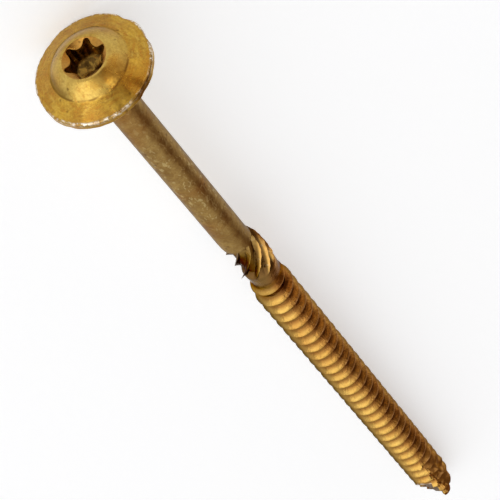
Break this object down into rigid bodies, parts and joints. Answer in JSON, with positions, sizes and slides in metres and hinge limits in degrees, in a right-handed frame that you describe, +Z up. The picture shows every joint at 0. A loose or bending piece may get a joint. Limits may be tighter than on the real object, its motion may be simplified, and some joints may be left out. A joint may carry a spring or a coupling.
{
  "type": "structural screw",
  "caption": "Structural timber screw with a domed washer head, a star drive recess, a plain shank, a ridged reaming section, a right-hand wood thread and a cut tip, lying at rest.",
  "frame": {"origin": "on the floor, under the middle of the bounding box of the lying screw", "axes": "+X along the length, from the tip towards the head; +Z up; +Y across"},
  "size_m": [0.195, 0.0196, 0.0196],
  "materials": {
    "plated_steel": "yellow zinc plating, satin on the head and the shank, glossier on the rolled thread"
  },
  "bodies": {
    "root": {"screw": "plated_steel"}
  },
  "joints": []
}
